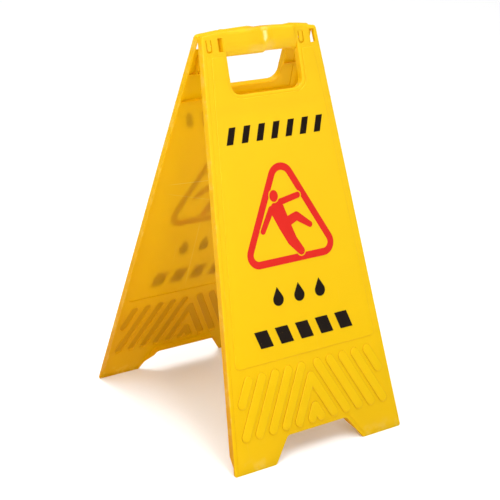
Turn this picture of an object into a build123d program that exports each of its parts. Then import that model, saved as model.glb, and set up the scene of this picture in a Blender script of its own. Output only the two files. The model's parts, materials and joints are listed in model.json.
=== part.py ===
from build123d import *
import math
import os

# Folding A-frame floor sign, in millimetres. Two equal moulded leaves hang on one hinge line
# and stand open on the floor. +Z is up, X runs across the leaves, and the origin lies on the
# floor under the hinge. The front leaf leans towards -Y.
#
# A leaf is drawn folded: X across, Z up, the hinge axis on X, and its outer face towards -Y.
# "Depth" is the distance outwards from the folding plane, where the two leaves meet when shut.
# "Drop" is the distance down the leaf from the hinge axis.

# ---- leaf ----
LEAF_LENGTH = 600.0         # drop of the foot that meets the floor
HINGE_HALF_WIDTH = 98.4     # half width of the leaf at the hinge axis
FOOT_HALF_WIDTH = 150.5     # half width at the feet
LEAF_DEPTH = 10.8           # folding plane to outer face
WALL = 2.2
EDGE_ROUND = 1.5            # rounding of the face's outer edges
OPEN_HALF_ANGLE = 17.5      # lean of each leaf when open, degrees
MEETING_GAP = 0.2           # each leaf's gap to the plane where the two leaves meet

# ---- crown, the arched top edge ----
CROWN_RISE = 9.0            # height of the crown over the hinge axis, mid leaf
CROWN_RADIUS = 760.0
SHOULDER_WIDTH = 2.0        # slanted corner at each end of the crown
SHOULDER_DROP = 1.0
SHOULDER_ROUND = 4.5

# ---- hand opening ----
OPENING_HALF_WIDTH = 61.5
OPENING_DROP = 82.0         # lower edge of the hand opening
OPENING_ROUND = 15.0

# ---- carry handle, a half tube between the uprights ----
HANDLE_DROP = 27.5          # underside of the handle
HANDLE_ROUND = 7.0          # rounding at the crown, away from the uprights
HANDLE_BLEND = 14.0         # length over which it grows from the uprights' own rounding
HANDLE_CURVE_DROP = 9.0     # where the handle starts to curl under
HANDLE_LIP = 2.0            # depth at which the curl ends
HANDLE_SWELL = 2.8          # how far one half of the handle stands out of the face
HANDLE_LIFT = 0.8           # how far the underside rises for each millimetre of swelling
HANDLE_DIP = 0.8            # hollow between the flat half and the swollen half
DIP_START = -14.0
SWELL_START = 2.5
SWELL_END = 11.5
SWELL_RETURN = 7.0          # length over which the swelling falls back at the upright

# ---- feet ----
NOTCH_DROP = 565.0          # upper edge of the notch between the feet
NOTCH_TOP_HALF_WIDTH = 53.0
NOTCH_FOOT_HALF_WIDTH = 79.0
NOTCH_ROUND = 8.0
FOOT_OUTER_ROUND = 4.0
FOOT_INNER_ROUND = 6.0
FOOT_RIM = 3.4              # depth of the rim under the feet
FOOT_RIM_START = 571.0      # the full rim ends here, with a slanted cut
FOOT_RIM_SLANT = 16.0

# ---- panel inside the border, a low step up from the face ----
BORDER_WIDTH = 5.5
PANEL_RAISE = 0.4
PANEL_TOP_DROP = 24.0

# ---- raised field that carries the print ----
FIELD_RAISE = 1.6
FIELD_TOP_DROP = 27.0
FIELD_TO_RIBS = 18.0        # lower edge of the field to the upper ends of the ribs
FIELD_MARGIN = 12.8         # from the leaf's side edges
FIELD_RIM = 5.0             # from the hand opening
FIELD_ROUND = 8.0
FIELD_END_ROUND = 5.0
FIELD_EDGE_ROUND = 1.4

# ---- herringbone ribs above the feet ----
RIB_BAND = 76.0             # height of the band that the ribs' middle lines fill
RIB_TO_NOTCH = 14.5         # lower ends of those lines to the notch between the feet
RIB_WIDTH = 15.0
RIB_PITCH = 23.1
RIB_FIRST = 14.2            # half distance between the first pair's upper ends
RIB_SLOPE = 0.527           # sideways run for each millimetre of drop
RIB_RAISE = 2.2
RIB_EDGE_ROUND = 2.0
RIB_SIDE_MARGIN = 20.0
RIB_LIP = 1.5               # groove behind each rib, narrower than the rib by this on each side
RIB_GROOVE_ROUND = 1.8

# ---- stiffening ribs inside ----
BRACE_WALL = 2.0
BRACE_DEPTH = 5.0           # depth at which the braces end
UPRIGHT_BRACE_DROP = 59.0
FIELD_BRACE_DROP = 102.0

# ---- hinge: pins on one leaf, snap claws on the other ----
PIN_RADIUS = 1.8
PIN_CLEARANCE = 0.08
CLAW_WALL = 1.5
CLAW_WIDTH = 5.0
CLAW_REACH = 1.0            # how far the claw's jaws pass the middle of the pin
CHEEK_WALL = 3.0
CHEEK_MARGIN = 1.3          # material round the pin's end
CHEEK_FOOT_DROP = 5.5
EAR_DROP = 3.8              # lower end of the short plate that holds a pin's outer end
SIDE_PLAY = 0.6             # claw to cheek
HINGE_RELIEF = 0.4          # from the claw to the crown's rim
CHEEK_TO_SIDE = 1.6         # outer cheek to the leaf's side rim
WINDOW_WIDTH = 9.5
WINDOW_TOP_DROP = 2.0
WINDOW_BOTTOM_DROP = 21.0
WINDOW_ROUND = 0.8
CLAW_WINDOW_ROUND = 3.6
TONGUE_WIDTH = 5.9
TONGUE_DROP = 18.5

# ---- print, drawn for a field of this height and laid out from the field's upper edge ----
PRINT_FILM = 0.2
PRINT_FIELD_TOP = 87.0
PRINT_FIELD_HEIGHT = 369.5
SIGN_SHIFT = -2.5           # the sign is printed a little off the middle
SIGN_TOP_DROP = 156.5       # where the triangle's sides would meet
SIGN_BASE_DROP = 325.2
SIGN_HALF_WIDTH = 88.5
SIGN_TOP_ROUND = 23.0
SIGN_BASE_ROUND = 19.5
SIGN_STROKE = 10.6
FIGURE_HALO = 1.8
HEAD = (-17.0, 228.0)       # across and drop, with the sign in the middle
HEAD_HALF_WIDTH = 7.3
HEAD_HALF_HEIGHT = 8.3
LIMBS = [                   # start, end, width at the start, width at the end
    ((-14.0, 248.0), (-6.0, 270.0), 24.0, 21.0),    # trunk
    ((-8.0, 238.0), (24.0, 232.5), 9.5, 9.0),       # arm that reaches forwards
    ((-24.5, 246.0), (-43.5, 274.5), 10.0, 8.5),    # arm that trails
    ((-2.0, 268.0), (17.0, 261.5), 15.0, 12.5),     # raised thigh
    ((17.0, 261.5), (38.5, 277.0), 12.5, 8.5),      # raised shin
    ((-6.0, 270.0), (4.0, 294.0), 21.0, 17.0),      # standing thigh
    ((4.0, 294.0), (17.0, 311.5), 17.0, 12.0),      # standing shin and foot
]
DASH_COUNT = 7
DASH_PITCH = 25.2
DASH_WIDTH = 11.0
DASH_TOP_DROP = 125.0
DASH_HEIGHT = 23.5
DASH_SLANT = 8.0
DROP_COUNT = 3
DROP_PITCH = 37.0
DROP_RADIUS = 9.0
DROP_HEIGHT = 27.0
TILE_COUNT = 5
TILE_PITCH = 35.5
TILE_WIDTH = 22.0
TILE_HEIGHT = 24.5
TILE_SLANT = -8.0
SIGN_TO_DROPS = 29.3        # the clear spaces below the sign share the height that is left
DROPS_TO_TILES = 29.0
TILES_TO_EDGE = 21.5

# ---- worked out from the sizes above ----
lean = math.radians(OPEN_HALF_ANGLE)
foot_depth = LEAF_DEPTH - FOOT_RIM
hinge_height = LEAF_LENGTH * math.cos(lean) - foot_depth * math.sin(lean)
foot_drop = LEAF_LENGTH + FOOT_RIM * math.tan(lean)
inner_face = LEAF_DEPTH - WALL
field_face = LEAF_DEPTH + FIELD_RAISE
rib_bottom = NOTCH_DROP - RIB_TO_NOTCH
rib_top = rib_bottom - RIB_BAND
field_bottom = rib_top - FIELD_TO_RIBS
below_opening = OPENING_DROP + FIELD_RIM
print_scale = (field_bottom - below_opening) / PRINT_FIELD_HEIGHT
print_foot = PRINT_FIELD_TOP + PRINT_FIELD_HEIGHT
space_left = print_foot - SIGN_BASE_DROP - DROP_HEIGHT - TILE_HEIGHT
space_share = space_left / (SIGN_TO_DROPS + DROPS_TO_TILES + TILES_TO_EDGE)
drops_top = SIGN_BASE_DROP + SIGN_TO_DROPS * space_share
tiles_top = drops_top + DROP_HEIGHT + DROPS_TO_TILES * space_share
claw_bore = PIN_RADIUS + PIN_CLEARANCE
claw_radius = claw_bore + CLAW_WALL
groove_width = RIB_WIDTH - 2 * RIB_LIP
half_fork = CLAW_WIDTH / 2 + SIDE_PLAY
inner_station = OPENING_HALF_WIDTH + WALL / 2 + CHEEK_WALL + half_fork
outer_station = HINGE_HALF_WIDTH - WALL - CHEEK_TO_SIDE - CHEEK_WALL - half_fork
PIN_STATIONS = (-inner_station, outer_station)
CLAW_STATIONS = (inner_station, -outer_station)

leaf_face = Plane(origin=(0, 0, 0), x_dir=(1, 0, 0), z_dir=(0, -1, 0))


def half_width(drop):
    """Half width of the leaf at a drop."""
    return HINGE_HALF_WIDTH + (FOOT_HALF_WIDTH - HINGE_HALF_WIDTH) * drop / LEAF_LENGTH


def crown_drop(across):
    """Drop of the crown's edge, negative because it lies above the hinge axis."""
    return CROWN_RADIUS - math.sqrt(CROWN_RADIUS**2 - across**2) - CROWN_RISE


def slab(sketch, low, high):
    """A sketch on the leaf, made solid from one depth to another."""
    return extrude(leaf_face.offset(low) * sketch, high - low)


def cross_plane(across):
    """Plane across the leaf: its x is depth and its y points up the leaf."""
    return Plane(origin=(across, 0, 0), x_dir=(0, -1, 0), z_dir=(-1, 0, 0))


def cross_slab(sketch, middle, width):
    """A cross-section drawn in depth and height, made solid over a width across the leaf."""
    return extrude(cross_plane(middle + width / 2) * sketch, width)


def mirrored_outline(right_half):
    """Closed sketch from the edges of its right half, whose ends lie on the middle line."""
    left_half = mirror(right_half, Plane.YZ)
    return make_face(Curve() + right_half + left_half)


def rounded(sketch, corners, radius):
    """Round a sketch's corners at the given points, and at their mirror points."""
    for across, drop in corners:
        for side in (-1, 1):
            corner = sketch.vertices().sort_by_distance((side * across, -drop, 0))[0]
            sketch = fillet(corner, radius)
    return sketch


def leaf_outline():
    """Outline of the leaf without the handle: uprights, field and feet."""
    shoulder = half_width(SHOULDER_DROP) - SHOULDER_WIDTH
    between = (shoulder + OPENING_HALF_WIDTH) / 2
    lower = Polyline(
        (0, -NOTCH_DROP),
        (NOTCH_TOP_HALF_WIDTH, -NOTCH_DROP),
        (NOTCH_FOOT_HALF_WIDTH, -foot_drop),
        (half_width(foot_drop), -foot_drop),
        (half_width(SHOULDER_DROP), -SHOULDER_DROP),
        (shoulder, -crown_drop(shoulder)),
    )
    crown = ThreePointArc(
        (shoulder, -crown_drop(shoulder)),
        (between, -crown_drop(between)),
        (OPENING_HALF_WIDTH, -crown_drop(OPENING_HALF_WIDTH)),
    )
    opening = Polyline(
        (OPENING_HALF_WIDTH, -crown_drop(OPENING_HALF_WIDTH)),
        (OPENING_HALF_WIDTH, -OPENING_DROP),
        (0, -OPENING_DROP),
    )
    outline = mirrored_outline(lower + crown + opening)
    outline = rounded(outline, [(NOTCH_TOP_HALF_WIDTH, NOTCH_DROP)], NOTCH_ROUND)
    outline = rounded(outline, [(NOTCH_FOOT_HALF_WIDTH, foot_drop)], FOOT_INNER_ROUND)
    outline = rounded(outline, [(half_width(foot_drop), foot_drop)], FOOT_OUTER_ROUND)
    shoulders = [(half_width(SHOULDER_DROP), SHOULDER_DROP), (shoulder, crown_drop(shoulder))]
    outline = rounded(outline, shoulders, SHOULDER_ROUND)
    return rounded(outline, [(OPENING_HALF_WIDTH, OPENING_DROP)], OPENING_ROUND)


def field_outline():
    """Outline of the raised field, which also runs up both uprights."""
    inner = OPENING_HALF_WIDTH + FIELD_RIM
    edges = Polyline(
        (0, -field_bottom),
        (half_width(field_bottom) - FIELD_MARGIN, -field_bottom),
        (half_width(FIELD_TOP_DROP) - FIELD_MARGIN, -FIELD_TOP_DROP),
        (inner, -FIELD_TOP_DROP),
        (inner, -below_opening),
        (0, -below_opening),
    )
    outline = mirrored_outline(edges)
    bottom = [(half_width(field_bottom) - FIELD_MARGIN, field_bottom)]
    ends = [(half_width(FIELD_TOP_DROP) - FIELD_MARGIN, FIELD_TOP_DROP), (inner, FIELD_TOP_DROP)]
    outline = rounded(outline, bottom, FIELD_ROUND)
    outline = rounded(outline, ends, FIELD_END_ROUND)
    return rounded(outline, [(inner, below_opening)], OPENING_ROUND + FIELD_RIM)


def pad(sketch, low, high, edge_round):
    """A slab whose outer edges are rounded."""
    block = slab(sketch, low, high)
    return fillet(block.faces().sort_by(Axis.Y)[0].edges(), edge_round)


def panel_outline():
    """Outline of the panel: the leaf within its border, from below the hinge down to the feet."""
    below = Pos(0, -PANEL_TOP_DROP - LEAF_LENGTH) * Rectangle(4 * FOOT_HALF_WIDTH, 2 * LEAF_LENGTH)
    return offset(leaf_outline(), amount=-BORDER_WIDTH) & below


def shell():
    """The dished leaf: outer face, rim all round, and the panel and field raised out of it."""
    outline = leaf_outline()
    block = pad(outline, MEETING_GAP, LEAF_DEPTH, EDGE_ROUND)
    block += slab(panel_outline(), inner_face, LEAF_DEPTH + PANEL_RAISE)
    field = field_outline()
    raised = pad(field, inner_face, field_face, FIELD_EDGE_ROUND)
    dish = slab(offset(outline, amount=-WALL), -MEETING_GAP, inner_face)
    dish += slab(panel_outline(), -MEETING_GAP, inner_face + PANEL_RAISE)
    field_dish = slab(offset(field, amount=-FIELD_RAISE), inner_face, inner_face + FIELD_RAISE)
    return block + raised - dish - field_dish


def rib_lines():
    """Middle lines of the herringbone ribs on the right half, as (across, drop) ends."""
    lines = []
    first = -math.floor((rib_bottom - rib_top) * RIB_SLOPE / RIB_PITCH + RIB_FIRST / RIB_PITCH)
    last = math.ceil(half_width(rib_top) / RIB_PITCH)
    side_slope = (FOOT_HALF_WIDTH - HINGE_HALF_WIDTH) / LEAF_LENGTH
    for number in range(first, last):
        start = RIB_FIRST + number * RIB_PITCH
        top = max(rib_top, rib_top - start / RIB_SLOPE)
        room = half_width(rib_top) - RIB_SIDE_MARGIN - start
        bottom = min(rib_bottom, rib_top + room / (RIB_SLOPE - side_slope))
        if bottom - top > RIB_WIDTH / 2:
            run = [(start + (drop - rib_top) * RIB_SLOPE, drop) for drop in (top, bottom)]
            lines.append(run)
    return lines


def rib_slots(width):
    """The slot shape of every rib, left and right, at the given width."""
    slots = []
    for (across_a, drop_a), (across_b, drop_b) in rib_lines():
        length = math.hypot(across_b - across_a, drop_b - drop_a)
        middle = ((across_a + across_b) / 2, -(drop_a + drop_b) / 2)
        angle = math.degrees(math.atan2(drop_a - drop_b, across_b - across_a))
        for side in (-1, 1):
            slot = Rot(Z=side * angle) * SlotCenterToCenter(length, width)
            slots.append(Pos(side * middle[0], middle[1]) * slot)
    return slots


def eased(value, start, end):
    """Smooth step from 0 to 1 while the value goes from start to end."""
    share = min(max((value - start) / (end - start), 0), 1)
    return share**2 * (3 - 2 * share)


def handle_swell(across):
    """How far the handle stands out of the face: it dips first, and then one half swells out."""
    dip = HANDLE_DIP * eased(across, DIP_START, SWELL_START)
    rise = (HANDLE_SWELL + HANDLE_DIP) * eased(across, SWELL_START, SWELL_END)
    return (rise - dip) * eased(across, OPENING_HALF_WIDTH, OPENING_HALF_WIDTH - SWELL_RETURN)


def handle_round(across):
    """Rounding of the handle at the crown: small at the uprights, and large between them."""
    small = max(EDGE_ROUND, 1.2 * WALL)
    grown = eased(abs(across), OPENING_HALF_WIDTH, OPENING_HALF_WIDTH - HANDLE_BLEND)
    return small + (HANDLE_ROUND - small) * grown


def handle_section(across, wall):
    """Section of the half tube: of its outside, or of its hollow when a wall is given."""
    swell = handle_swell(across)
    edge = handle_round(across)
    face = LEAF_DEPTH + swell
    top = -crown_drop(across)
    curl = -HANDLE_CURVE_DROP + swell
    bend = math.sqrt(0.5) * (edge - wall)
    back = MEETING_GAP - wall
    upper = Polyline((back, top - wall), (face - edge, top - wall))
    corner = ThreePointArc(
        (face - edge, top - wall),
        (face - edge + bend, top - edge + bend),
        (face - wall, top - edge),
    )
    front = Polyline((face - wall, top - edge), (face - wall, curl))
    pull = 0.55
    lip = -HANDLE_DROP + HANDLE_LIFT * max(swell, 0) + wall
    under = Bezier(
        (face - wall, curl),
        (face - wall, curl + pull * (lip - curl)),
        (HANDLE_LIP + (1 - pull) * (face - wall - HANDLE_LIP), lip),
        (HANDLE_LIP, lip),
    )
    rest = Polyline((HANDLE_LIP, lip), (back, lip), (back, top - wall))
    return cross_plane(across) * make_face(Curve() + upper + corner + front + under + rest)


def handle_stretch(start, end, steps, wall):
    """One smooth stretch of the half tube, or of its hollow."""
    stations = [start + (end - start) * step / steps for step in range(steps + 1)]
    return loft([handle_section(across, wall) for across in stations])


def handle():
    """The half tube between the uprights, open towards the other leaf."""
    end = OPENING_HALF_WIDTH + EDGE_ROUND
    blend_end = OPENING_HALF_WIDTH - HANDLE_BLEND
    stretches = [
        (-end, -blend_end, 5),
        (-blend_end, DIP_START, 2),
        (DIP_START, SWELL_START, 4),
        (SWELL_START, SWELL_END, 6),
        (SWELL_END, blend_end, 2),
        (blend_end, end, 6),
    ]
    outside = Part() + [handle_stretch(*stretch, 0) for stretch in stretches]
    hollow = Part() + [handle_stretch(*stretch, WALL) for stretch in stretches]
    return outside - hollow


def open_stop():
    """What the leaf leaves free above the hinge, so that two open leaves meet on one plane."""
    block = Pos(0, 50 - MEETING_GAP, 50) * Box(4 * HINGE_HALF_WIDTH, 100, 100)
    return Rot(X=OPEN_HALF_ANGLE) * block


def floor_block():
    """The floor under the open sign, seen from the leaf."""
    block = Pos(0, 0, -hinge_height - 50) * Box(4 * FOOT_HALF_WIDTH, 2 * LEAF_LENGTH, 100)
    return Rot(X=OPEN_HALF_ANGLE) * block


def foot_rim_cut():
    """What is cut from the rim at the feet: it gets shallow over a slanted stretch."""
    section = Polyline(
        (-WALL, -FOOT_RIM_START),
        (0, -FOOT_RIM_START),
        (foot_depth, -FOOT_RIM_START - FOOT_RIM_SLANT),
        (foot_depth, -foot_drop - WALL),
        (-WALL, -foot_drop - WALL),
        close=True,
    )
    return cross_slab(make_face(section), 0, 4 * FOOT_HALF_WIDTH)


def braces():
    """Low ribs inside: one across each upright and one across the field under the opening."""
    bar = Rectangle(4 * HINGE_HALF_WIDTH, BRACE_WALL)
    bars = Pos(0, -UPRIGHT_BRACE_DROP) * bar + Pos(0, -FIELD_BRACE_DROP) * bar
    return slab(bars & leaf_outline(), BRACE_DEPTH, inner_face + FIELD_RAISE)


def cheek(across):
    """Rib that carries one end of a hinge pin and runs down to the upright's brace."""
    nose = PIN_RADIUS + CHEEK_MARGIN
    side = make_face(Polyline(
        (0, nose),
        (inner_face + FIELD_RAISE, nose),
        (inner_face + FIELD_RAISE, -UPRIGHT_BRACE_DROP),
        (BRACE_DEPTH, -UPRIGHT_BRACE_DROP),
        (BRACE_DEPTH, -CHEEK_FOOT_DROP),
        (0, -nose),
        close=True,
    ))
    return cross_slab(side + Circle(nose), across, CHEEK_WALL)


def ear(across):
    """Short plate in the corner of the crown's rim that carries a pin's outer end."""
    nose = PIN_RADIUS + CHEEK_MARGIN
    side = make_face(Polyline(
        (0, nose),
        (inner_face + PANEL_RAISE, nose),
        (inner_face + PANEL_RAISE, -EAR_DROP),
        (0, -nose),
        close=True,
    ))
    return cross_slab(side + Circle(nose), across, CHEEK_WALL)


def hinge_relief():
    """Hollows in the crown's rim, over both uprights, that clear the other leaf's hinge parts."""
    width = HINGE_HALF_WIDTH - WALL - OPENING_HALF_WIDTH
    middle = OPENING_HALF_WIDTH + width / 2
    return [cross_slab(Circle(claw_radius + HINGE_RELIEF), side * middle, width) for side in (-1, 1)]


def pin_fork(station):
    """A hinge pin between a cheek and, at the leaf's side, an ear."""
    pin = cross_slab(Circle(PIN_RADIUS), station, 2 * half_fork + CHEEK_WALL)
    reach = math.copysign(half_fork + CHEEK_WALL / 2, station)
    return pin + cheek(station - reach) + ear(station + reach)


def claw(station):
    """Snap claw: a ring round the other leaf's pin, open towards that leaf."""
    stem = Pos(inner_face / 2, 0) * Rectangle(inner_face, 2 * claw_radius)
    mouth = Pos(-claw_radius - CLAW_REACH, 0) * Rectangle(2 * claw_radius, 4 * claw_radius)
    section = stem + Circle(claw_radius) - Circle(claw_bore) - mouth
    return cross_slab(section, station, CLAW_WIDTH)


def window(station, corner_round):
    """Window through the face in front of a pin or a claw."""
    height = WINDOW_BOTTOM_DROP - WINDOW_TOP_DROP
    shape = RectangleRounded(WINDOW_WIDTH, height, corner_round)
    middle = (WINDOW_BOTTOM_DROP + WINDOW_TOP_DROP) / 2
    return slab(Pos(station, -middle) * shape, inner_face, LEAF_DEPTH + FIELD_RAISE)


def tongue(station):
    """Sprung tongue that hangs in a claw's window."""
    top = WINDOW_TOP_DROP - WALL
    shape = RectangleRounded(TONGUE_WIDTH, TONGUE_DROP - top, TONGUE_WIDTH * 0.45)
    hung = Pos(station, -(TONGUE_DROP + top) / 2) * shape
    return slab(hung, inner_face, LEAF_DEPTH)


def leaf():
    """One whole leaf, folded, with the hinge axis on X."""
    ribs = [pad(slot, inner_face, LEAF_DEPTH + RIB_RAISE, RIB_EDGE_ROUND)
            for slot in rib_slots(RIB_WIDTH)]
    grooves = [pad(slot, inner_face - RIB_RAISE, inner_face + RIB_RAISE, RIB_GROOVE_ROUND)
               for slot in rib_slots(groove_width)]
    windows = [window(station, WINDOW_ROUND) for station in PIN_STATIONS]
    windows += [window(station, CLAW_WINDOW_ROUND) for station in CLAW_STATIONS]
    cuts = grooves + windows + hinge_relief() + [open_stop(), foot_rim_cut(), floor_block()]
    hinge = [pin_fork(station) for station in PIN_STATIONS]
    hinge += [tongue(station) + claw(station) for station in CLAW_STATIONS]
    return shell() + [handle(), braces()] + ribs - cuts + hinge


def film(sketch):
    """Print on the raised field, fitted to the field's height."""
    fitted = scale(Pos(0, PRINT_FIELD_TOP) * sketch, by=print_scale)
    return slab(Pos(0, -below_opening) * fitted, field_face, field_face + PRINT_FILM)


def slanted_row(count, pitch, width, top, height, slant):
    """A row of equal slanted bars, centred on the leaf."""
    bar = make_face(Polyline(
        (-width / 2 - slant / 2, -top - height),
        (width / 2 - slant / 2, -top - height),
        (width / 2 + slant / 2, -top),
        (-width / 2 + slant / 2, -top),
        close=True,
    ))
    return Sketch() + [Pos(pitch * (number - (count - 1) / 2), 0) * bar for number in range(count)]


def water_drops():
    """A row of water drops: a circle, and a point that is tangent to it."""
    tip = DROP_HEIGHT - DROP_RADIUS
    turn = math.acos(DROP_RADIUS / tip)
    touch = (DROP_RADIUS * math.sin(turn), DROP_RADIUS * math.cos(turn))
    point = make_face(Polyline((0, tip), touch, (-touch[0], touch[1]), close=True))
    drop = Pos(0, -drops_top - tip) * (Circle(DROP_RADIUS) + point)
    return Sketch() + [Pos(DROP_PITCH * (number - (DROP_COUNT - 1) / 2), 0) * drop
                       for number in range(DROP_COUNT)]


def limb(start, end, start_width, end_width, grow):
    """A tapered limb with round ends, between two points given across and in drop."""
    start_radius = start_width / 2 + grow
    end_radius = end_width / 2 + grow
    along = (Vector(end[0], -end[1]) - Vector(start[0], -start[1])).normalized()
    aside = Vector(-along.Y, along.X)
    first = Vector(start[0], -start[1])
    last = Vector(end[0], -end[1])
    middle = make_face(Polyline(
        first + aside * start_radius,
        last + aside * end_radius,
        last - aside * end_radius,
        first - aside * start_radius,
        close=True,
    ))
    return middle + Pos(first.X, first.Y) * Circle(start_radius) + Pos(last.X, last.Y) * Circle(end_radius)


def figure_head(grow):
    """The figure's head, grown all round by a margin."""
    return Pos(HEAD[0], -HEAD[1]) * Ellipse(HEAD_HALF_WIDTH + grow, HEAD_HALF_HEIGHT + grow)


def figure_body(grow):
    """The body of the falling figure of the common slip sign, grown all round by a margin."""
    return Sketch() + [limb(*ends, grow) for ends in LIMBS]


def slip_sign():
    """Warning triangle with the figure in it: a clear margin keeps head, body and border apart."""
    triangle = make_face(Polyline(
        (0, -SIGN_TOP_DROP),
        (-SIGN_HALF_WIDTH, -SIGN_BASE_DROP),
        (SIGN_HALF_WIDTH, -SIGN_BASE_DROP),
        close=True,
    ))
    triangle = fillet(triangle.vertices().sort_by(Axis.Y)[-1], SIGN_TOP_ROUND)
    triangle = rounded(triangle, [(SIGN_HALF_WIDTH, SIGN_BASE_DROP)], SIGN_BASE_ROUND)
    border = triangle - offset(triangle, amount=-SIGN_STROKE)
    body = figure_body(0) - figure_head(FIGURE_HALO)
    border = border - figure_body(FIGURE_HALO) - figure_head(FIGURE_HALO)
    return Pos(SIGN_SHIFT, 0) * (border + body + figure_head(0))


def place_front(shape):
    """From the folded drawing to the front leaf's place in the open sign."""
    return Pos(0, 0, hinge_height) * Rot(X=-OPEN_HALF_ANGLE) * shape


def place_rear(shape):
    """The rear leaf is the front leaf after half a turn about the vertical."""
    return Rot(Z=180) * place_front(shape)


pieces = {
    "leaf": leaf(),
    "hazard_dash_print": film(slanted_row(
        DASH_COUNT, DASH_PITCH, DASH_WIDTH, DASH_TOP_DROP, DASH_HEIGHT, DASH_SLANT)),
    "slip_sign_print": film(slip_sign()),
    "water_drop_print": film(water_drops()),
    "floor_tile_print": film(slanted_row(
        TILE_COUNT, TILE_PITCH, TILE_WIDTH, tiles_top, TILE_HEIGHT, TILE_SLANT)),
}
os.makedirs("parts", exist_ok=True)
for side, place in (("front", place_front), ("rear", place_rear)):
    for name, shape in pieces.items():
        export_step(place(shape), f"parts/{side}_{name}.step")
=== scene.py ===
import bpy
import bmesh
import json
import math
from mathutils import Matrix, Vector

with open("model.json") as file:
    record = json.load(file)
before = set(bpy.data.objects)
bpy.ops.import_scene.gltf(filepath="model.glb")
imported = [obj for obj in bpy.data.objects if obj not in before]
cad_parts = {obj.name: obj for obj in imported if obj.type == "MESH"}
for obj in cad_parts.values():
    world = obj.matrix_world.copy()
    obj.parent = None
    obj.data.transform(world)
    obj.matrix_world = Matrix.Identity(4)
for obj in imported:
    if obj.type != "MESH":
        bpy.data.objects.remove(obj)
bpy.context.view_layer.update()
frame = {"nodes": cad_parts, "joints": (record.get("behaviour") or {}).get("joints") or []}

# ---- studio ----
# A pale matt floor that runs far behind the sign, under an even white ceiling. Soft boxes stand
# to the left, in front, above and behind, and one lights the far floor. The camera stands in
# front of the sign and to its left, a little above it, on a long lens.
floor_half_side = 14.0
floor_white = (0.90, 0.90, 0.90, 1)
room_white = (1.0, 1.0, 1.0, 1)
room_light = 0.05
backdrop_light = 0.85
ceiling_light = 2.9
ceiling_spread = math.radians(70)

floor_mesh = bpy.data.meshes.new("studio_floor")
bm = bmesh.new()
bmesh.ops.create_grid(bm, x_segments=8, y_segments=8, size=floor_half_side)
bm.to_mesh(floor_mesh)
bm.free()
studio_floor = bpy.data.objects.new("studio_floor", floor_mesh)
bpy.context.scene.collection.objects.link(studio_floor)
floor_paint = bpy.data.materials.new("studio_floor")
floor_paint.use_nodes = True
floor_shader = floor_paint.node_tree.nodes["Principled BSDF"]
floor_shader.inputs["Base Color"].default_value = floor_white
floor_shader.inputs["Roughness"].default_value = 0.9
floor_shader.inputs["Specular IOR Level"].default_value = 0.1
floor_mesh.materials.append(floor_paint)

# The room gives little light of its own, and beyond the floor it looks as pale as the floor.
room = bpy.data.worlds.new("white_room")
room.use_nodes = True
room_nodes = room.node_tree.nodes
room_nodes["Background"].inputs["Color"].default_value = room_white
room_level = room_nodes.new("ShaderNodeMapRange")
room_level.inputs["To Min"].default_value = room_light
room_level.inputs["To Max"].default_value = backdrop_light
room.node_tree.links.new(
    room_nodes.new("ShaderNodeLightPath").outputs["Is Camera Ray"], room_level.inputs["Value"])
room.node_tree.links.new(room_level.outputs[0], room_nodes["Background"].inputs["Strength"])
bpy.context.scene.world = room
bpy.context.scene.view_settings.view_transform = "Standard"


def soft_light(name, place, aim, width, power, height=None):
    """A soft box at a place, turned to shine at a point; square if no height is given."""
    lamp = bpy.data.lights.new(name, "AREA")
    lamp.shape = "RECTANGLE"
    lamp.size = width
    lamp.size_y = height or width
    lamp.energy = power
    holder = bpy.data.objects.new(name, lamp)
    holder.location = place
    holder.rotation_euler = (Vector(aim) - Vector(place)).to_track_quat("-Z", "Y").to_euler()
    bpy.context.scene.collection.objects.link(holder)


soft_light("left_softbox", (-1.1, -0.8, 1.6), (0, 0, 0.45), 0.6, 8)
soft_light("front_softbox", (-0.47, -1.77, 1.24), (0, 0, 0.5), 0.4, 12.5, 0.9)
soft_light("overhead_softbox", (0.4, -1.1, 1.6), (0, -0.05, 0.4), 0.6, 4)
soft_light("side_softbox", (-0.6, -0.35, 1.05), (0, 0, 0.5), 0.35, 1.1)
soft_light("low_side_softbox", (-1.0, -0.1, 0.5), (0, 0.1, 0.1), 0.3, 1.3)
soft_light("rear_softbox", (-0.1, 0.9, 1.3), (0, 0.05, 0.5), 0.6, 6.5)
soft_light("far_floor_softbox", (1.6, 2.4, 2.2), (1.8, 2.9, 0), 1.5, 12)
ceiling = bpy.data.lights.new("ceiling", "SUN")
ceiling.energy = ceiling_light
ceiling.angle = ceiling_spread
bpy.context.scene.collection.objects.link(bpy.data.objects.new("ceiling", ceiling))

camera_turn = 0.6276617
camera_tilt = 0.3448600
camera_roll = 0.0303638
camera_distance = 2.0338709
camera_to_left = 0.00074073
camera_below = 0.0475815
camera_lens = 99.732
sensor_width = 36
aim_point = Vector((0, 0, 0.29784))
looking = Vector((
    math.sin(camera_turn) * math.cos(camera_tilt),
    math.cos(camera_turn) * math.cos(camera_tilt),
    -math.sin(camera_tilt),
))
level_right = Vector((math.cos(camera_turn), -math.sin(camera_turn), 0))
level_up = level_right.cross(looking)
right = math.cos(camera_roll) * level_right + math.sin(camera_roll) * level_up
up = math.cos(camera_roll) * level_up - math.sin(camera_roll) * level_right
camera_place = aim_point - camera_distance * looking - camera_to_left * right - camera_below * up
view = bpy.data.cameras.new("camera")
view.sensor_width = sensor_width
view.lens = camera_lens
view.clip_end = 60
camera = bpy.data.objects.new("camera", view)
camera_axes = Matrix((right, up, -looking)).transposed().to_4x4()
camera.matrix_world = Matrix.Translation(camera_place) @ camera_axes
bpy.context.scene.collection.objects.link(camera)
bpy.context.scene.camera = camera

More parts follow.
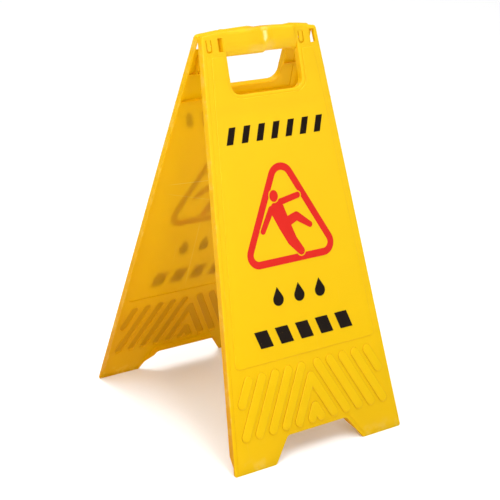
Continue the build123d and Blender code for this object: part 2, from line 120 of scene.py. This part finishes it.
# ---- leaves ----
# Two equal leaves of yellow polypropylene, each moulded in one shot with its half of the carry
# handle, its hinge pins and claws, its raised field and its ribs. The wall is thin enough for
# light to pass, so the print on one side shows faintly on the other.
fold_hinge = frame["joints"][0]
hinge_height = fold_hinge["pos_m"][2]
leaf_lean = math.radians(fold_hinge["range_deg"][1]) / 2
half_width_at_hinge = 0.0984
side_taper = 0.08683

ribs_begin = (0.468, 0.474)
ribs_finish = (0.552, 0.556)
rib_ends = (0.004, 0.006)
groove_depth = (0.0093, 0.0103)
crest_depth = (0.0120, 0.0129)
raised_depth = (0.0114, 0.0121)
foot_zone = (0.575, 0.601)
worn_edge = (0.0004, 0.0022)
scratch_edge = (0.0003, 0.0012)
scratch_fading = 0.02
grip_drop = (0.024, 0.029)
grip_reach = (0.014, 0.026)
# Drops over which the painted shade deepens towards the feet.
lower_zone = (0.10, 0.60)
lowest_zone = (0.42, 0.60)
crease_reach = 0.004
crease_samples = 8

plain_sheen = 0.40
skin_height = 0.00003
wave_height = 0.0012
scratch_height = 0.00006
plastic_ior = 1.49
plastic_specular = 0.20
polish_roughness = 0.18
polish_ior = 1.6
share_of_passed_light = 0.45

# The plastic's tones, with painted shade: inner tones darker than outer ones, lower and foot tones
# darker than upper ones, and the upper outer tone lighter as painted light. The cloud tone varies at
# random.
outer_upper_lit = (0.950, 0.675, 0.022, 1)
outer_lower_shaded = (0.950, 0.640, 0.001, 1)
outer_foot_shaded = (0.900, 0.580, 0.001, 1)
outer_cloud = (0.970, 0.700, 0.012, 1)
inner_upper_shaded = (0.970, 0.600, 0.001, 1)
inner_lower_shaded = (0.800, 0.345, 0.000, 1)
inner_foot_shaded = (0.680, 0.285, 0.001, 1)
# Painted shade for the rib grooves and the creases, and a painted highlight for the rib crests.
groove_painted_shade = (0.40, 0.13, 0.000, 1)
crease_painted_shade = (0.62, 0.30, 0.001, 1)
crest_painted_highlight = (0.99, 0.70, 0.006, 1)
speckle_yellow = (0.90, 0.58, 0.002, 1)
rubbed_yellow = (0.98, 0.80, 0.22, 1)
scratch_yellow = (0.99, 0.80, 0.16, 1)
# Colours of the light passed through the wall. The groove colour is darker as painted shade.
passed_light = (0.97, 0.78, 0.002, 1)
passed_light_cloud = (0.98, 0.82, 0.004, 1)
passed_light_groove_shade = (0.60, 0.36, 0.001, 1)


def add(tree, kind, inputs, **settings):
    """A node with its settings, and its inputs given as values or as sockets to link."""
    made = tree.nodes.new(kind)
    for name, value in settings.items():
        setattr(made, name, value)
    for socket, value in inputs.items():
        if isinstance(value, bpy.types.NodeSocket):
            tree.links.new(value, made.inputs[socket])
        else:
            made.inputs[socket].default_value = value
    return made


def sums(tree, operation, *values):
    """The result of one Math node."""
    return add(tree, "ShaderNodeMath", dict(enumerate(values)), operation=operation).outputs[0]


def product(tree, first, *others):
    """Values multiplied together."""
    for value in others:
        first = sums(tree, "MULTIPLY", first, value)
    return first


def more(tree, value, share, start):
    """A start with a share of a value added."""
    return sums(tree, "MULTIPLY_ADD", value, share, start)


def ramp(tree, value, low, high, start=0.0, end=1.0):
    """A value run smoothly from start to end while it goes from low to high."""
    made = add(tree, "ShaderNodeMapRange", {"Value": value, "From Min": low, "From Max": high,
                                            "To Min": start, "To Max": end})
    made.interpolation_type = "SMOOTHSTEP"
    return made.outputs[0]


def fade(tree, value, low, high):
    """A value run smoothly from full to none while it goes from low to high."""
    return ramp(tree, value, low, high, 1.0, 0.0)


def grain(tree, vector, scale, detail=2.0, roughness=0.5):
    """Even noise at a scale, counted per metre."""
    return add(tree, "ShaderNodeTexNoise", {"Vector": vector, "Scale": scale, "Detail": detail,
                                            "Roughness": roughness}).outputs[0]


def blend_colours(tree, share, first, second):
    """Two colours mixed by a share; the numbers are the colour sockets of the Mix node."""
    return add(tree, "ShaderNodeMix", {0: share, 6: first, 7: second}, data_type="RGBA").outputs[2]


def bump(tree, height, distance, strength, normal=None, **settings):
    """A surface raised by a height; or sunk, if it is inverted."""
    inputs = {"Height": height, "Distance": distance, "Strength": strength}
    if normal:
        inputs["Normal"] = normal
    return add(tree, "ShaderNodeBump", inputs, **settings).outputs[0]


def leaf_places(tree, turn):
    """Where a point lies on a leaf that stands turned about the upright axis.

    Sideways is from the leaf's middle line, and across is how far that is on either side. Depth
    is from the folding plane out to the face, and drop from the hinge down to the feet.
    """
    texture = tree.nodes.new("ShaderNodeTexCoord")
    rotation = (-leaf_lean, 0, turn)
    leaf = add(tree, "ShaderNodeMapping", {
        "Vector": texture.outputs["Object"],
        "Location": (0, 0, hinge_height),
        "Rotation": rotation,
    }, vector_type="TEXTURE").outputs[0]
    axes = add(tree, "ShaderNodeSeparateXYZ", {0: leaf}).outputs
    facing = add(tree, "ShaderNodeMapping", {
        "Vector": texture.outputs["Normal"],
        "Rotation": rotation,
    }, vector_type="TEXTURE").outputs[0]
    outward = product(tree, add(tree, "ShaderNodeSeparateXYZ", {0: facing}).outputs[1], -1.0)
    at = {
        "leaf": leaf,
        "sideways": axes[0],
        "across": sums(tree, "ABSOLUTE", axes[0]),
        "depth": product(tree, axes[1], -1.0),
        "drop": product(tree, axes[2], -1.0),
        "outer": ramp(tree, outward, 0.15, 0.75),
    }
    side_edge = more(tree, at["drop"], side_taper, half_width_at_hinge)
    at["from_side"] = sums(tree, "SUBTRACT", side_edge, at["across"])
    at["inner"] = sums(tree, "SUBTRACT", 1.0, at["outer"])
    return at


def rubbing(tree, at):
    """Where the side edges and the feet have rubbed, in patches."""
    edge = fade(tree, at["from_side"], *worn_edge)
    foot = ramp(tree, at["drop"], *foot_zone)
    patchy = ramp(tree, grain(tree, at["leaf"], 55.0, 4.0, 0.65), 0.50, 0.66)
    return product(tree, sums(tree, "MAXIMUM", edge, foot), patchy)


def scuffs(tree, at):
    """Short fine scratches that run down the leaf, in some areas only."""
    drawn_out = add(tree, "ShaderNodeMapping", {
        "Vector": at["leaf"],
        "Rotation": (0, 0.5, 0),
        "Scale": (500.0, 500.0, 9.0),
    }).outputs[0]
    streaks = ramp(tree, grain(tree, drawn_out, 1.0, 1.0), 0.70, 0.78)
    return product(tree, streaks, ramp(tree, grain(tree, at["leaf"], 12.0, 2.0), 0.52, 0.66))


def scored_line(tree, along, aside, start, end, offset, slope):
    """A thin straight mark that runs along one way of the leaf from a start to an end."""
    away = sums(tree, "ABSOLUTE", sums(tree, "SUBTRACT", aside, more(tree, along, slope, offset)))
    mark = fade(tree, away, *scratch_edge)
    mark = product(tree, mark, ramp(tree, along, start, start + scratch_fading))
    return product(tree, mark, fade(tree, along, end - scratch_fading, end))


def long_scratches(tree, at):
    """Three long scratches on the inside: one across, and two fainter ones across and down."""
    sideways = at["sideways"]
    drop = at["drop"]
    marks = scored_line(tree, sideways, drop, -0.05, 0.096, 0.2505, -0.058)
    for mark in (
        scored_line(tree, sideways, drop, -0.03, 0.094, 0.2883, -0.302),
        scored_line(tree, drop, sideways, 0.32, 0.45, 0.0091, 0.0227),
    ):
        marks = more(tree, mark, 0.6, marks)
    return product(tree, marks, at["inner"])


def tone_with_painted_shade(tree, at):
    """The plastic's yellow with painted shade: darker and more amber on inner and side faces than
    outer, darker towards the feet, and lighter at the top.
    """
    low = ramp(tree, at["drop"], *lower_zone)
    lowest = ramp(tree, at["drop"], *lowest_zone)
    deep = blend_colours(tree, low, inner_upper_shaded, inner_lower_shaded)
    deep = blend_colours(tree, lowest, deep, inner_foot_shaded)
    bright = blend_colours(tree, low, outer_upper_lit, outer_lower_shaded)
    bright = blend_colours(tree, lowest, bright, outer_foot_shaded)
    bright = blend_colours(tree, product(tree, at["cloud"], 0.3), bright, outer_cloud)
    return blend_colours(tree, at["outer"], deep, bright)


def polypropylene(name, turn):
    """The leaf's plastic, for the leaf that stands turned about the upright axis."""
    material = bpy.data.materials.new(name)
    material.use_nodes = True
    tree = material.node_tree
    at = leaf_places(tree, turn)
    at["cloud"] = grain(tree, at["leaf"], 9.0, 3.0)
    rub = rubbing(tree, at)
    scratch = scuffs(tree, at)

    # Painted shade darkens the grooves between the ribs and, through an ambient occlusion node,
    # every crease; the rib crests get a painted highlight.
    among_ribs = product(
        tree,
        ramp(tree, at["drop"], *ribs_begin),
        fade(tree, at["drop"], *ribs_finish),
        ramp(tree, at["from_side"], *rib_ends),
    )
    groove = product(tree, among_ribs, at["inner"], ramp(tree, at["depth"], *groove_depth))
    crest = product(tree, among_ribs, at["outer"], ramp(tree, at["depth"], *crest_depth))
    nook = add(tree, "ShaderNodeAmbientOcclusion", {"Distance": crease_reach},
               samples=crease_samples, only_local=True)
    crease_shade = fade(tree, nook.outputs["AO"], 0.40, 0.90)

    tone = tone_with_painted_shade(tree, at)
    # Laid over the tone: painted shade in the grooves and creases, a painted highlight on the rib
    # crests, then scratches, speckle and wear.
    for place, share, colour in (
        (groove, 0.50, groove_painted_shade),
        (crease_shade, 0.55, crease_painted_shade),
        (crest, 0.50, crest_painted_highlight),
        (long_scratches(tree, at), 0.55, scratch_yellow),
        (grain(tree, at["leaf"], 1400.0, 1.0), 0.10, speckle_yellow),
        (rub, 0.35, rubbed_yellow),
        (scratch, 0.30, scratch_yellow),
    ):
        tone = blend_colours(tree, product(tree, place, share), tone, colour)

    # Hands have polished the middle of the handle, and the raised faces are a little smoother.
    grip = product(
        tree,
        fade(tree, at["drop"], *grip_drop),
        fade(tree, at["across"], *grip_reach),
    )
    sheen = plain_sheen
    for place, share in (
        (ramp(tree, at["depth"], *raised_depth), -0.06),
        (grip, -0.17),
        (at["cloud"], 0.08),
        (rub, 0.18),
        (scratch, 0.15),
    ):
        sheen = more(tree, place, share, sheen)

    skin = bump(tree, grain(tree, at["leaf"], 2600.0, 2.0), skin_height, 0.5)
    waved = bump(tree, grain(tree, at["leaf"], 16.0, 1.0), wave_height, 0.5, skin)
    scored = bump(tree, scratch, scratch_height, 0.4, waved, invert=True)

    shader = tree.nodes["Principled BSDF"]
    shader.inputs["IOR"].default_value = plastic_ior
    shader.inputs["Specular IOR Level"].default_value = plastic_specular
    shader.inputs["Coat Roughness"].default_value = polish_roughness
    shader.inputs["Coat IOR"].default_value = polish_ior
    tree.links.new(grip, shader.inputs["Coat Weight"])
    tree.links.new(tone, shader.inputs["Base Color"])
    tree.links.new(sheen, shader.inputs["Roughness"])
    tree.links.new(scored, shader.inputs["Normal"])

    # Light passed through the wall, darker in the grooves as painted shade.
    passed = blend_colours(tree, at["cloud"], passed_light, passed_light_cloud)
    passed = blend_colours(tree, product(tree, groove, 0.35), passed, passed_light_groove_shade)
    glow = add(tree, "ShaderNodeBsdfTranslucent", {"Color": passed, "Normal": waved})
    both = add(tree, "ShaderNodeMixShader", {
        0: share_of_passed_light,
        1: shader.outputs[0],
        2: glow.outputs[0],
    })
    tree.links.new(both.outputs[0], tree.nodes["Material Output"].inputs[0])
    return material


frame["nodes"]["front_leaf"].data.materials[0] = polypropylene("front_polypropylene", 0.0)
frame["nodes"]["rear_leaf"].data.materials[0] = polypropylene("rear_polypropylene", math.pi)

# ---- print ----
# Two inks screened on each raised field: red for the slip sign, black for the dashes, the water
# drops and the tiles. A thin even film, a little duller than the plastic, with pinholes where
# it has rubbed.
black_light = (0.012, 0.006, 0.003, 1)
black_dark = (0.006, 0.003, 0.002, 1)
red_light = (0.66, 0.022, 0.014, 1)
red_dark = (0.58, 0.016, 0.011, 1)
bare_yellow = (0.95, 0.62, 0.01, 1)
ink_specular = 0.15


def ink(name, light, dark):
    """Screen ink between two tones, with small bare spots."""
    material = bpy.data.materials.new(name)
    material.use_nodes = True
    tree = material.node_tree
    place = tree.nodes.new("ShaderNodeTexCoord").outputs["Object"]
    pinholes = ramp(tree, grain(tree, place, 900.0, 1.0), 0.74, 0.80)
    worn = ramp(tree, grain(tree, place, 26.0, 3.0, 0.6), 0.50, 0.70)
    tone = blend_colours(tree, grain(tree, place, 30.0, 4.0, 0.6), dark, light)
    tone = blend_colours(tree, product(tree, pinholes, worn, 0.8), tone, bare_yellow)
    shader = tree.nodes["Principled BSDF"]
    shader.inputs["Specular IOR Level"].default_value = ink_specular
    tree.links.new(tone, shader.inputs["Base Color"])
    tree.links.new(more(tree, grain(tree, place, 60.0, 2.0), 0.14, 0.36), shader.inputs["Roughness"])
    skin = bump(tree, grain(tree, place, 2600.0, 2.0), skin_height, 0.5)
    tree.links.new(skin, shader.inputs["Normal"])
    return material


black_ink = ink("black_ink", black_light, black_dark)
red_ink = ink("red_ink", red_light, red_dark)
for side in ("front", "rear"):
    for name in ("hazard_dash_print", "water_drop_print", "floor_tile_print"):
        frame["nodes"][side + "_" + name].data.materials[0] = black_ink
    frame["nodes"][side + "_slip_sign_print"].data.materials[0] = red_ink
